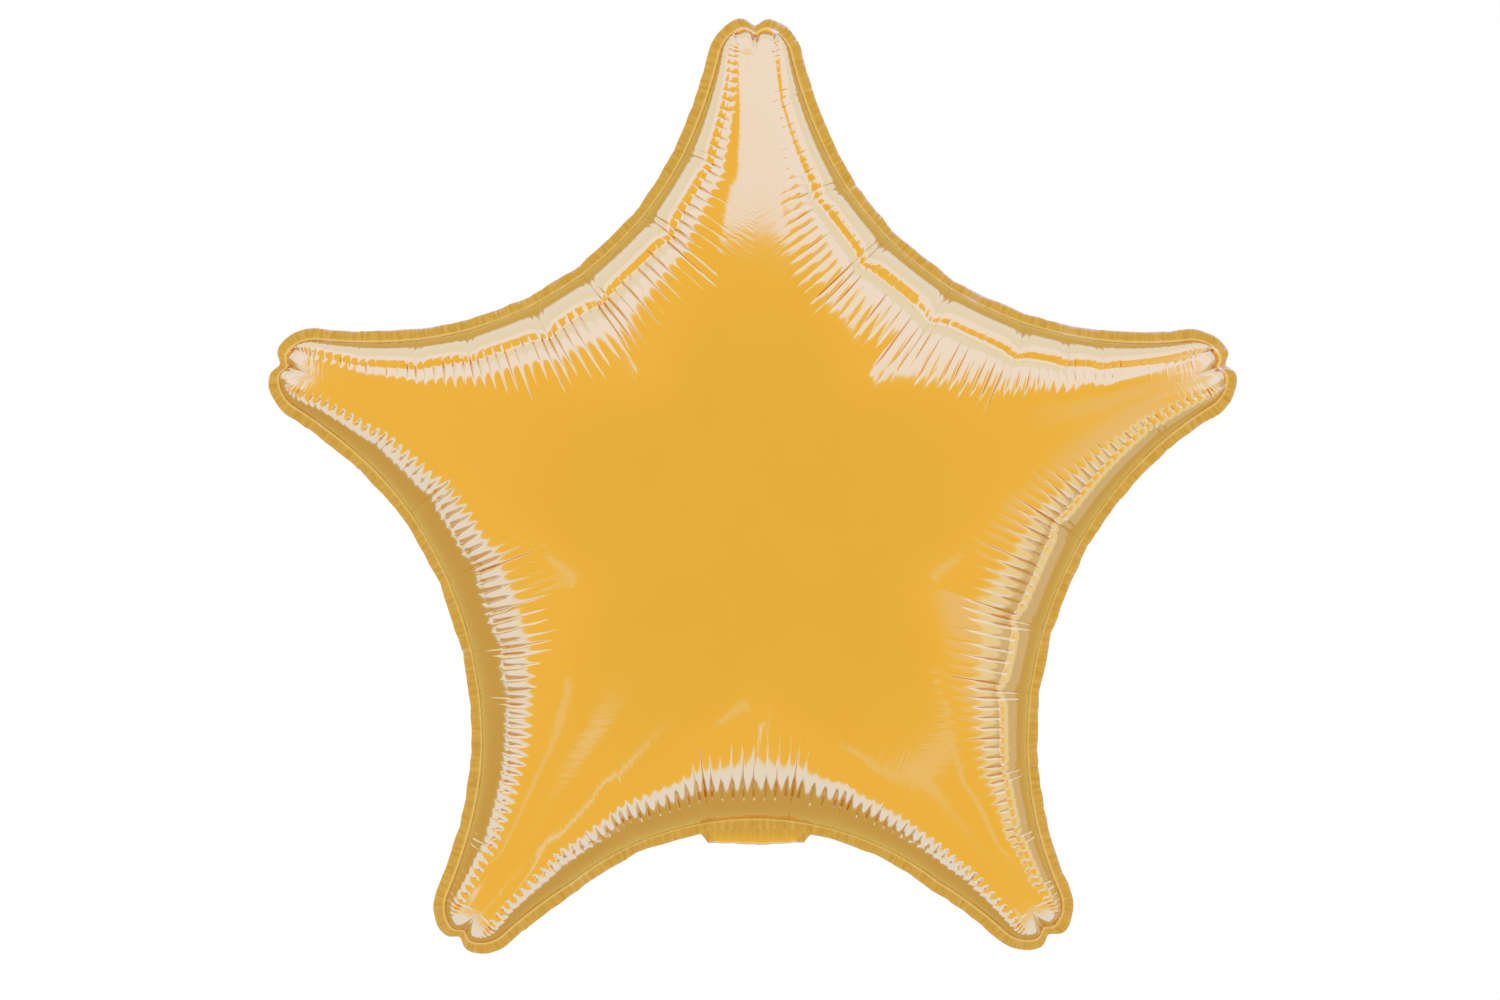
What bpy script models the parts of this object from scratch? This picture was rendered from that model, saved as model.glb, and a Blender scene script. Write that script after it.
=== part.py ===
# Star foil balloon, blown up: two sheets of gold metallised film welded along a five-armed outline,
# with the flat filling neck folded up behind the lowest hollow of the seam.
# Metres, +Z up, front to -Y. The origin is on the cut edge in that hollow, where the neck leaves it.
import math
from collections import namedtuple

import bmesh
import bpy

# The outline, as blown up, measured to the cut edge of the seam. Sides and arms are listed clockwise
# from the top arm: side 0 is the one between the top arm and the next.
ARM_COUNT = 5
TIP_REACH = 0.2205  # star centre to the end of an arm
NOTCH_REACH = 0.1361  # star centre to the middle of a hollow side
TIP_ROUNDING = 0.0198  # radius of an arm's blunt end
ARM_LEANS = (-0.1, -1.35, 0.15, 0.05, 1.15)  # degrees clockwise from an even fifth
ARM_STRETCHES = (0.0030, 0.0004, 0.0010, 0.0030, 0.0030)  # how much further each arm's end reaches
STRETCH_FROM = 0.150  # from the star's centre
SIDE_BOWS = (0.0028, 0.0008, -0.0058, 0.0020, 0.0028)  # outward, at each side's middle
SIDE_BOW_LENGTHS = (1.0, 1.0, 0.56, 1.0, 1.0)  # as shares of half a side
BOTTOM_SIDE = ARM_COUNT // 2

# The welded seam and the two bellied sheets.
SEAM_WIDTH = 0.005
SEAM_THICKNESS = 0.001
BELLY = 0.092  # half the depth at the star's centre
TIP_BELLY = 0.020  # half the depth where an arm's round end starts
FULLNESS = 2.5  # 2 gives an elliptical section, more gives a flatter face and steeper sides

# The tucks that the seam draws into the film, with a pillow between each two. Each has a place, from
# -1 at one arm's end to 1 at the next, and a strength.
SIDE_TUCKS = (
    ((-0.68, 0.35), (-0.39, 0.6), (-0.185, 0.9), (0.06, 1.0), (0.31, 0.9), (0.44, 0.5), (0.54, 0.5)),
    ((-0.63, 0.5), (-0.25, 0.9), (0.02, 0.9), (0.21, 0.9), (0.42, 0.35), (0.60, 0.5), (0.76, 0.4)),
    ((-0.62, 0.4), (-0.22, 0.7), (-0.09, 0.8), (0.13, 0.9), (0.35, 0.8), (0.56, 0.5), (0.75, 0.4)),
    ((-0.62, 0.5), (-0.22, 0.6), (-0.09, 0.9), (0.13, 0.9), (0.35, 0.8), (0.56, 0.5), (0.75, 0.4)),
    ((-0.68, 0.35), (-0.52, 0.5), (-0.37, 0.5), (-0.155, 0.9), (0.02, 0.9), (0.28, 0.9), (0.50, 0.6)),
)
TUCK_HALF_WIDTH = 0.0024
TUCK_DEPTH = 0.0024
TUCK_ONSET = 0.004  # from the weld to where a tuck is at its deepest
TUCK_FULL_SPAN = 0.047  # on a narrower arm the tucks are shallower in step
PILLOW_RISE = 0.0020
PILLOW_FLATNESS = 2.6
PILLOW_FULL_LENGTH = 0.22  # of half a side: a shorter pillow rises less
SEAM_DRAW = 0.0014  # how far a deep tuck pulls the cut edge inward
SEAM_DRAW_HALF_WIDTH = 0.0055

# The crease where the smooth pillows at the seam end, which runs in towards the centre at each tuck.
# The folds fade out between it and the belly.
CREASE_MIDDLE = 0.0205  # from the cut edge, half way along a side
CREASE_TIP = 0.0055
CREASE_ASIDE = 0.0083  # from an arm's axis, where the crease runs out along the arm's end
CREASE_LEAST = 0.0085  # from the cut edge, in the arm's end
CREASE_CUSP = 0.0042
CREASE_CUSP_HALF_WIDTH = 0.006
CREASE_DEPTH = 0.0010
FOLDS_END_MIDDLE = 0.054
FOLDS_END_SHARE = 0.86  # of a narrow arm's half width

# The cleft in the end of each arm, and the flat-bottomed valley that runs in from it.
CLEFT_DEPTH = 0.0040
CLEFT_HALF_ANGLE = math.radians(12)  # seen from the centre of the round end
VALLEY_DEPTH = 0.0036
VALLEY_HALF_WIDTH = 0.0080
VALLEY_LENGTH = 0.060

# The filling neck: both sheets lie flat together, folded up behind the belly.
NECK_WIDTH = 0.042
NECK_ROOT_WIDTH = 0.058
NECK_FLARE_LENGTH = 0.012
NECK_THICKNESS = 0.0014
NECK_FOLD_RADIUS = 0.0028
NECK_DROP = 0.0058  # how far the fold stands below the cut edge
NECK_ROOT_DEPTH = 0.010  # how far the neck is traced into the body, from the weld
NECK_STANDOFF = 0.0060  # from the belly behind it
NECK_HUG = math.radians(38)  # how far round the section it follows before it runs straight
NECK_TAB_LENGTH = 0.032  # the straight, flat end
NECK_CORNER = 0.007

# How finely the film and the neck are divided.
COLUMNS_PER_HALF_SIDE = 24
ARM_END_COLUMNS = (0.84, 0.89, 0.93, 0.965)  # places round an arm's end that always have one
PILLOW_ROWS = (0.10, 0.38, 0.80, 1.0)  # shares of the way from the weld to the crease
FOLD_ROW = 0.0020  # past the crease
BELLY_ROWS = 5
NECK_HUG_ROWS = 5
NECK_FOLD_ROWS = 4
NECK_CORNER_ROWS = 4
WELD_DISTANCE = 0.00002

# Each hollow side is one arc that meets the round ends of its two arms smoothly.
HALF_SHARE = math.pi / ARM_COUNT
TIP_CENTRE = TIP_REACH - TIP_ROUNDING
SIDE_RADIUS = (
    TIP_ROUNDING**2 - NOTCH_REACH**2 - TIP_CENTRE**2
    + 2 * NOTCH_REACH * TIP_CENTRE * math.cos(HALF_SHARE)
) / (2 * (NOTCH_REACH - TIP_CENTRE * math.cos(HALF_SHARE) - TIP_ROUNDING))
SIDE_CENTRE = NOTCH_REACH + SIDE_RADIUS
SIDE_SWEEP = math.atan2(
    TIP_CENTRE * math.sin(HALF_SHARE), SIDE_CENTRE - TIP_CENTRE * math.cos(HALF_SHARE)
)
TIP_SWEEP = HALF_SHARE + SIDE_SWEEP
HALF_SIDE_LENGTH = SIDE_RADIUS * SIDE_SWEEP + TIP_ROUNDING * TIP_SWEEP
STAR_CENTRE = NOTCH_REACH + SIDE_BOWS[BOTTOM_SIDE]
QUARTER_TURN = math.pi / 2

# A place on the seam of half a hollow side, in axes where x points from the star's centre to the
# middle of the side and y towards the arm: the edge point, the way inward, how far the arm's axis
# is that way, how far from the star's centre it is met, and the angle from the arm's end.
Station = namedtuple("Station", "edge inward span axis_reach from_end")


def smooth(value):
    value = min(max(value, 0.0), 1.0)
    return value * value * (3 - 2 * value)


def seam_station(along):
    # along runs from 0 at the middle of the side to 1 at the end of the arm.
    length = along * HALF_SIDE_LENGTH
    angle = length / SIDE_RADIUS
    if angle < SIDE_SWEEP:
        edge = (SIDE_CENTRE - SIDE_RADIUS * math.cos(angle), SIDE_RADIUS * math.sin(angle))
        from_axis = math.sin(HALF_SHARE + angle)
        span = SIDE_CENTRE * math.sin(HALF_SHARE) / from_axis - SIDE_RADIUS
        axis_reach = SIDE_CENTRE * math.sin(angle) / from_axis
        return Station(edge, (-math.cos(angle), math.sin(angle)), span, axis_reach, TIP_SWEEP)
    from_end = (HALF_SIDE_LENGTH - length) / TIP_ROUNDING
    outward = (math.cos(HALF_SHARE - from_end), math.sin(HALF_SHARE - from_end))
    edge = (
        TIP_CENTRE * math.cos(HALF_SHARE) + TIP_ROUNDING * outward[0],
        TIP_CENTRE * math.sin(HALF_SHARE) + TIP_ROUNDING * outward[1],
    )
    return Station(edge, (-outward[0], -outward[1]), TIP_ROUNDING, TIP_CENTRE, from_end)


def axis_height(axis_reach):
    return TIP_BELLY + (BELLY - TIP_BELLY) * (1 - (axis_reach / TIP_CENTRE) ** 2)


def axis_slope(axis_reach):
    return -2 * (BELLY - TIP_BELLY) * axis_reach / TIP_CENTRE**2


def film_height(station, run):
    # The film's height off the seam's plane at a distance inward from the cut edge, and how far its
    # section has turned there, from 0 at the weld to a right angle on the arm's axis.
    bellied = station.span - SEAM_WIDTH
    share = min(max((run - SEAM_WIDTH) / bellied, 0.0), 1.0)
    sine = math.sqrt(1 - (1 - share) ** FULLNESS)
    toward_end = station.inward[0] * math.cos(HALF_SHARE) + station.inward[1] * math.sin(HALF_SHARE)
    # The axis itself slopes, so each section reaches it at that slope and no ridge forms. In an arm's
    # round end the film climbs steadily from the weld.
    lag = sine - share if station.axis_reach >= TIP_CENTRE else (1 - share) * share**2
    ease = lag * bellied * axis_slope(station.axis_reach) * toward_end
    height = SEAM_THICKNESS / 2 + axis_height(station.axis_reach) * sine - ease
    return height, math.asin(sine)


def run_at_rise(station, rise):
    return SEAM_WIDTH + (station.span - SEAM_WIDTH) * (1 - math.cos(rise) ** (2 / FULLNESS))


def tuck_pull(side, place, half_width):
    # How strongly the nearest tuck is felt at a place on a side.
    pull = 0.0
    for tuck, strength in SIDE_TUCKS[side]:
        gap = abs(place - tuck) * HALF_SIDE_LENGTH
        pull = max(pull, strength * math.exp(-gap / half_width))
    return pull


def pillow_share(side, place):
    # How full the pillow is between the two tucks on either side of a place.
    ends = [-1.0] + [tuck for tuck, strength in SIDE_TUCKS[side]] + [1.0]
    for first, second in zip(ends, ends[1:]):
        if first <= place <= second:
            across = abs(2 * (place - first) / (second - first) - 1)
            return (1 - across**PILLOW_FLATNESS) * min(1.0, (second - first) / PILLOW_FULL_LENGTH)
    return 0.0


def seam_draw(side, place):
    draw = 0.0
    for tuck, strength in SIDE_TUCKS[side]:
        gap = (place - tuck) * HALF_SIDE_LENGTH / SEAM_DRAW_HALF_WIDTH
        draw += SEAM_DRAW * strength**2 * math.exp(-(gap**2))
    return draw


def crease_run(side, place):
    base = CREASE_TIP + (CREASE_MIDDLE - CREASE_TIP) * (1 - abs(place) ** 2.2)
    pull = tuck_pull(side, place, CREASE_CUSP_HALF_WIDTH)
    run = base + CREASE_CUSP * pull**1.5 * (1 - abs(place) ** 3)
    station = seam_station(abs(place))
    if station.axis_reach >= TIP_CENTRE:
        least_sine = CREASE_ASIDE / (TIP_ROUNDING - CREASE_LEAST)
        run = min(run, TIP_ROUNDING - CREASE_ASIDE / max(math.sin(station.from_end), least_sine))
    return run


def folds_end(side, place):
    nearest = min(FOLDS_END_MIDDLE, FOLDS_END_SHARE * seam_station(abs(place)).span)
    return max(nearest, crease_run(side, place) + 2 * FOLD_ROW)


def film_lift(side, place, run):
    # How far the pillows and tucks carry the film off its plain form, square to its own lean.
    crease = crease_run(side, place)
    onset = smooth((run - SEAM_WIDTH) / TUCK_ONSET)
    fade = 1 - smooth((run - crease) / (folds_end(side, place) - crease))
    swell = PILLOW_RISE * pillow_share(side, place) - TUCK_DEPTH * tuck_pull(side, place, TUCK_HALF_WIDTH)
    dip = CREASE_DEPTH if abs(run - crease) < FOLD_ROW / 2 else 0.0
    narrow = min(1.0, seam_station(abs(place)).span / TUCK_FULL_SPAN)
    return narrow * (onset * fade * swell - dip)


def side_columns(side):
    # Places along a side for the columns of the film, the same number on each half: the arms' ends,
    # each tuck and its two shoulders, and the widest gaps halved until all are placed. Each column ends
    # on the arm's axis at an evenly spaced place, so that the two sides of an arm meet.
    margin = TUCK_HALF_WIDTH / HALF_SIDE_LENGTH
    columns = []
    for half in (-1, 1):
        places = [0.0, *ARM_END_COLUMNS, 1.0]
        for tuck, _ in SIDE_TUCKS[side]:
            places += [half * tuck + step for step in (-margin, 0.0, margin) if half * tuck > 0]
        places.sort()
        while len(places) < COLUMNS_PER_HALF_SIDE + 1:
            gaps = [second - first for first, second in zip(places, places[1:])]
            widest = gaps.index(max(gaps))
            places.insert(widest + 1, (places[widest] + places[widest + 1]) / 2)
        ends = [index / COLUMNS_PER_HALF_SIDE for index in range(COLUMNS_PER_HALF_SIDE + 1)]
        pairs = [(half * place, half * end) for place, end in zip(places, ends)]
        columns += pairs[:0:-1] if half < 0 else pairs[:-1]
    return columns


def lean_at(heading):
    # Heading and lean are clockwise from straight up, and the lean passes smoothly between arms.
    turn = (heading / (2 * HALF_SHARE)) % ARM_COUNT
    arm = int(turn)
    first = math.radians(ARM_LEANS[arm % ARM_COUNT])
    second = math.radians(ARM_LEANS[(arm + 1) % ARM_COUNT])
    return first + (second - first) * smooth(turn - arm)


def side_bow(side, place, share):
    reach = SIDE_BOW_LENGTHS[side]
    return SIDE_BOWS[side] * max(1 - (place / reach) ** 2, 0.0) * (1 - share) ** 2


def cleft_and_valley(station, run, height, rise):
    if station.axis_reach >= TIP_CENTRE:
        cleft = math.exp(-((station.from_end / CLEFT_HALF_ANGLE) ** 2))
        run += CLEFT_DEPTH * cleft * (1 - run / station.span)
    x = station.edge[0] + station.inward[0] * run
    y = station.edge[1] + station.inward[1] * run
    aside = x * math.sin(HALF_SHARE) - y * math.cos(HALF_SHARE)
    from_tip = TIP_REACH - x * math.cos(HALF_SHARE) - y * math.sin(HALF_SHARE)
    valley = (1 - smooth(from_tip / VALLEY_LENGTH)) / (1 + abs(aside / VALLEY_HALF_WIDTH) ** 5)
    return x, y, height - VALLEY_DEPTH * valley * math.sin(rise)


def film_point(side, column, run, lift=0.0, flat_height=None):
    # A point of the front sheet. The column drifts from its seam place to its place on the axis, and
    # the run is kept in proportion to the width that the film has there.
    start, end = column
    wide = seam_station(abs(start)).span
    drift = smooth(film_height(seam_station(abs(start)), run)[1] / QUARTER_TURN)
    place = start + (end - start) * drift
    station = seam_station(abs(place))
    if run > SEAM_WIDTH:
        run = SEAM_WIDTH + (run - SEAM_WIDTH) * (station.span - SEAM_WIDTH) / (wide - SEAM_WIDTH)
    height, rise = film_height(station, run)
    share = min(max((run - SEAM_WIDTH) / (station.span - SEAM_WIDTH), 0.0), 1.0)
    if flat_height is not None:
        height = flat_height
    run -= lift * math.cos(rise) + side_bow(side, place, share)
    height += lift * math.sin(rise)
    x, y, height = cleft_and_valley(station, run, height, rise)
    heading = HALF_SHARE * (2 * side + 1) + math.atan2(math.copysign(y, place) if place else y, x)
    arm = round(heading / (2 * HALF_SHARE)) % ARM_COUNT
    heading += lean_at(heading)
    reach = math.hypot(x, y)
    reach += ARM_STRETCHES[arm] * smooth((reach - STRETCH_FROM) / (TIP_CENTRE - STRETCH_FROM))
    return (reach * math.sin(heading), -height, STAR_CENTRE + reach * math.cos(heading))


def column_points(side, column):
    # One column of the front sheet, from the cut edge of the seam to the arm's axis.
    start = column[0]
    inset = seam_draw(side, start)
    crease = crease_run(side, start)
    station = seam_station(abs(start))
    points = [
        film_point(side, column, inset, flat_height=0.0),
        film_point(side, column, inset + SEAM_THICKNESS / 2, flat_height=SEAM_THICKNESS / 2),
        film_point(side, column, SEAM_WIDTH),
    ]
    runs = [SEAM_WIDTH + (crease - SEAM_WIDTH) * share for share in PILLOW_ROWS]
    runs.append(crease + FOLD_ROW)
    first_rise = film_height(station, runs[-1])[1]
    for row in range(1, BELLY_ROWS + 1):
        rise = first_rise + (QUARTER_TURN - first_rise) * row / BELLY_ROWS
        runs.append(run_at_rise(station, rise))
    points += [film_point(side, column, run, lift=film_lift(side, start, run)) for run in runs]
    return points


def grid_cell(vertex, columns, rows):
    # Which column and row a vertex of a fresh grid belongs to, which runs from -1 to 1 both ways.
    return round((vertex.co.x + 1) / 2 * columns), round((vertex.co.y + 1) / 2 * rows)


def front_sheet():
    # One sheet as a strip that runs round the star, from the cut edge of the seam inward, and
    # meets itself on the arms' axes.
    columns = []
    for side in range(ARM_COUNT):
        columns += [column_points(side, column) for column in side_columns(side)]
    last_row = len(columns[0]) - 1
    sheet = bmesh.new()
    bmesh.ops.create_grid(sheet, x_segments=len(columns), y_segments=last_row, size=1)
    for vertex in sheet.verts:
        column, row = grid_cell(vertex, len(columns), last_row)
        vertex.co = columns[column % len(columns)][row]
    bmesh.ops.remove_doubles(sheet, verts=sheet.verts, dist=WELD_DISTANCE)
    return sheet


def neck_path():
    # The neck's middle line in the plane x = 0, as (y, z): from inside the body down to the fold,
    # up behind the belly at its standoff, and straight on to the rounded end.
    path = [(0.0, SEAM_WIDTH + NECK_ROOT_DEPTH), (0.0, SEAM_WIDTH), (0.0, NECK_FOLD_RADIUS - NECK_DROP)]
    for index in range(1, NECK_FOLD_ROWS + 1):
        turn = QUARTER_TURN * index / NECK_FOLD_ROWS
        drop = NECK_FOLD_RADIUS * (1 - math.sin(turn)) - NECK_DROP
        path.append((NECK_FOLD_RADIUS * (1 - math.cos(turn)), drop))
    middle = seam_station(0.0)
    for index in range(1, NECK_HUG_ROWS + 1):
        rise = NECK_HUG * index / NECK_HUG_ROWS
        run = run_at_rise(middle, rise)
        height = film_height(middle, run)[0]
        share = (run - SEAM_WIDTH) / (middle.span - SEAM_WIDTH)
        run += STAR_CENTRE - NOTCH_REACH - side_bow(BOTTOM_SIDE, 0.0, share)
        path.append((height + NECK_STANDOFF * math.sin(rise), run - NECK_STANDOFF * math.cos(rise)))
    before, last = path[-2:]
    step = math.dist(before, last)
    way = ((last[0] - before[0]) / step, (last[1] - before[1]) / step)
    for index in range(NECK_CORNER_ROWS + 1):
        turn = QUARTER_TURN * index / NECK_CORNER_ROWS
        run = NECK_TAB_LENGTH - NECK_CORNER + NECK_CORNER * math.sin(turn)
        path.append((last[0] + way[0] * run, last[1] + way[1] * run))
    return path


def neck_half_width(run, length):
    flare = smooth(1 - (run - NECK_ROOT_DEPTH) / NECK_FLARE_LENGTH)
    half_width = (NECK_WIDTH + (NECK_ROOT_WIDTH - NECK_WIDTH) * flare) / 2
    into_corner = max(NECK_CORNER - (length - run), 0.0)
    return half_width - NECK_CORNER + math.sqrt(NECK_CORNER**2 - into_corner**2)


def neck_strip():
    path = neck_path()
    runs = [0.0]
    for first, second in zip(path, path[1:]):
        runs.append(runs[-1] + math.dist(first, second))
    strip = bmesh.new()
    bmesh.ops.create_grid(strip, x_segments=2, y_segments=len(path) - 1, size=1)
    for vertex in strip.verts:
        column, row = grid_cell(vertex, 2, len(path) - 1)
        across = (column - 1) * neck_half_width(runs[row], runs[-1])
        vertex.co = (across, path[row][0], path[row][1])
    return strip


def add_object(name, shape, collection):
    mesh = bpy.data.meshes.new(name)
    shape.to_mesh(mesh)
    shape.free()
    thing = bpy.data.objects.new(name, mesh)
    collection.objects.link(thing)
    return thing


def new_collection(name):
    collection = bpy.data.collections.new(name)
    bpy.context.scene.collection.children.link(collection)
    return collection


def metallised_film():
    material = bpy.data.materials.new("gold_metallised_film")
    material.use_nodes = True
    shader = material.node_tree.nodes["Principled BSDF"]
    shader.inputs["Base Color"].default_value = (0.78, 0.42, 0.045, 1.0)
    shader.inputs["Metallic"].default_value = 1.0
    shader.inputs["Roughness"].default_value = 0.22
    return material


def build():
    for thing in list(bpy.data.objects):
        bpy.data.objects.remove(thing, do_unlink=True)
    balloon = new_collection("star_foil_balloon")
    guides = new_collection("neck_guides")

    neck = add_object("neck_guide", neck_strip(), guides)
    neck.hide_render = True
    neck.display_type = "WIRE"
    plies = neck.modifiers.new("plies", "SOLIDIFY")
    plies.thickness = NECK_THICKNESS
    plies.offset = 0

    envelope = add_object("foil_envelope", front_sheet(), balloon)
    envelope.data.materials.append(metallised_film())
    back = envelope.modifiers.new("back_sheet", "MIRROR")
    back.use_axis = (False, True, False)
    back.merge_threshold = WELD_DISTANCE
    joined = envelope.modifiers.new("neck", "BOOLEAN")
    joined.operation = "UNION"
    joined.object = neck
    envelope.data.shade_smooth()
    envelope.data.set_sharp_from_angle(angle=math.radians(50))


build()
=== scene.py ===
# Star foil balloon: two sheets of gold metallised film welded at the rim and tight with gas, with the
# flat filling neck folded up behind. Metres, +Z up, front to -Y, as in the CAD frame.
import math

import bpy
import numpy as np
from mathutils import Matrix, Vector


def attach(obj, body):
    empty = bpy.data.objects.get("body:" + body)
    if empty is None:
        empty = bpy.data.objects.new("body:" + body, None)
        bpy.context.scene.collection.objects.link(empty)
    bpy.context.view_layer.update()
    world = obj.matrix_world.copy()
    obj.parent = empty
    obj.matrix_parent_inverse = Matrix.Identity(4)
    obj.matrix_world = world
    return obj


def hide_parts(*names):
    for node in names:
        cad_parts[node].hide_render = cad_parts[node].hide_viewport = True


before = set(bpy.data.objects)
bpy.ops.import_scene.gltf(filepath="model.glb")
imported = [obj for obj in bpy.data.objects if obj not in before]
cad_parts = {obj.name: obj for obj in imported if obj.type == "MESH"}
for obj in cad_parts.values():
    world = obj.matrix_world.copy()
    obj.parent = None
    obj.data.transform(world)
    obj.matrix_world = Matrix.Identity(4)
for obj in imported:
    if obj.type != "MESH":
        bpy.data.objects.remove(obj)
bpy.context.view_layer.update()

bpy.ops.object.select_all(action="DESELECT")

# The star's own form, the same as the solid's. Sides and arms are listed clockwise from the top arm.
star = {
    "arms": 5,
    "tipReach": 0.2205,
    "notchReach": 0.1361,
    "tipRound": 0.0198,
    "leans": (-0.1, -1.35, 0.15, 0.05, 1.15),  # degrees clockwise
    "stretches": (0.0030, 0.0004, 0.0010, 0.0030, 0.0030),
    "stretchFrom": 0.150,
    "bows": (0.0028, 0.0008, -0.0058, 0.0020, 0.0028),  # outward, at each side's middle
    "bowLengths": (1.0, 1.0, 0.56, 1.0, 1.0),
    "bottomSide": 2,
    "belly": 0.092,
    "tipBelly": 0.020,
    "fullness": 2.5,
    "weldWidth": 0.005,
    "weldThickness": 0.0006,
    "cleftDepth": 0.0040,
    "cleftHalfAngle": 12,
    "valleyDepth": 0.0036,
    "valleyHalfWidth": 0.0080,
    "valleyLength": 0.060,
    "valleyFlatness": 5,
}

# Deep tucks on each side: a place, from -1 at one arm's end to 1 at the next, and a strength.
deepTucks = (
    ((-0.68, 0.35), (-0.39, 0.6), (-0.185, 0.9), (0.06, 1.0), (0.31, 0.9), (0.44, 0.5), (0.54, 0.5)),
    ((-0.63, 0.5), (-0.25, 0.9), (0.02, 0.9), (0.21, 0.9), (0.42, 0.35), (0.60, 0.5), (0.76, 0.4)),
    ((-0.62, 0.4), (-0.22, 0.7), (-0.09, 0.8), (0.13, 0.9), (0.35, 0.8), (0.56, 0.5), (0.75, 0.4)),
    ((-0.62, 0.5), (-0.22, 0.6), (-0.09, 0.9), (0.13, 0.9), (0.35, 0.8), (0.56, 0.5), (0.75, 0.4)),
    ((-0.68, 0.35), (-0.52, 0.5), (-0.37, 0.5), (-0.155, 0.9), (0.02, 0.9), (0.28, 0.9), (0.50, 0.6)),
)

# Long folds that run in from each arm's end: offset from the axis at the end, clockwise positive, and
# where the fold dies, then its length, depth and half width, all in millimetres.
armFolds = (
    ((-6.6, -8.0, 34, 0.4, 0.8), (6.4, 8.0, 30, 0.4, 0.7)),
    ((-6.4, -11.0, 60, 0.4, 1.1), (3.0, 6.0, 74, 0.45, 1.4), (6.4, 12.0, 56, 0.4, 1.0)),
    ((-4.6, -6.0, 30, 0.4, 1.0), (-1.0, -1.0, 44, 0.35, 1.3), (3.4, 5.0, 30, 0.4, 1.1)),
    ((-1.5, -9.5, 98, 0.25, 2.2), (-5.0, -6.5, 24, 0.4, 1.0), (3.0, 5.0, 26, 0.4, 1.1)),
    ((-6.6, -12.0, 50, 0.35, 1.1), (6.8, 13.0, 56, 0.35, 1.1)),
)

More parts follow.
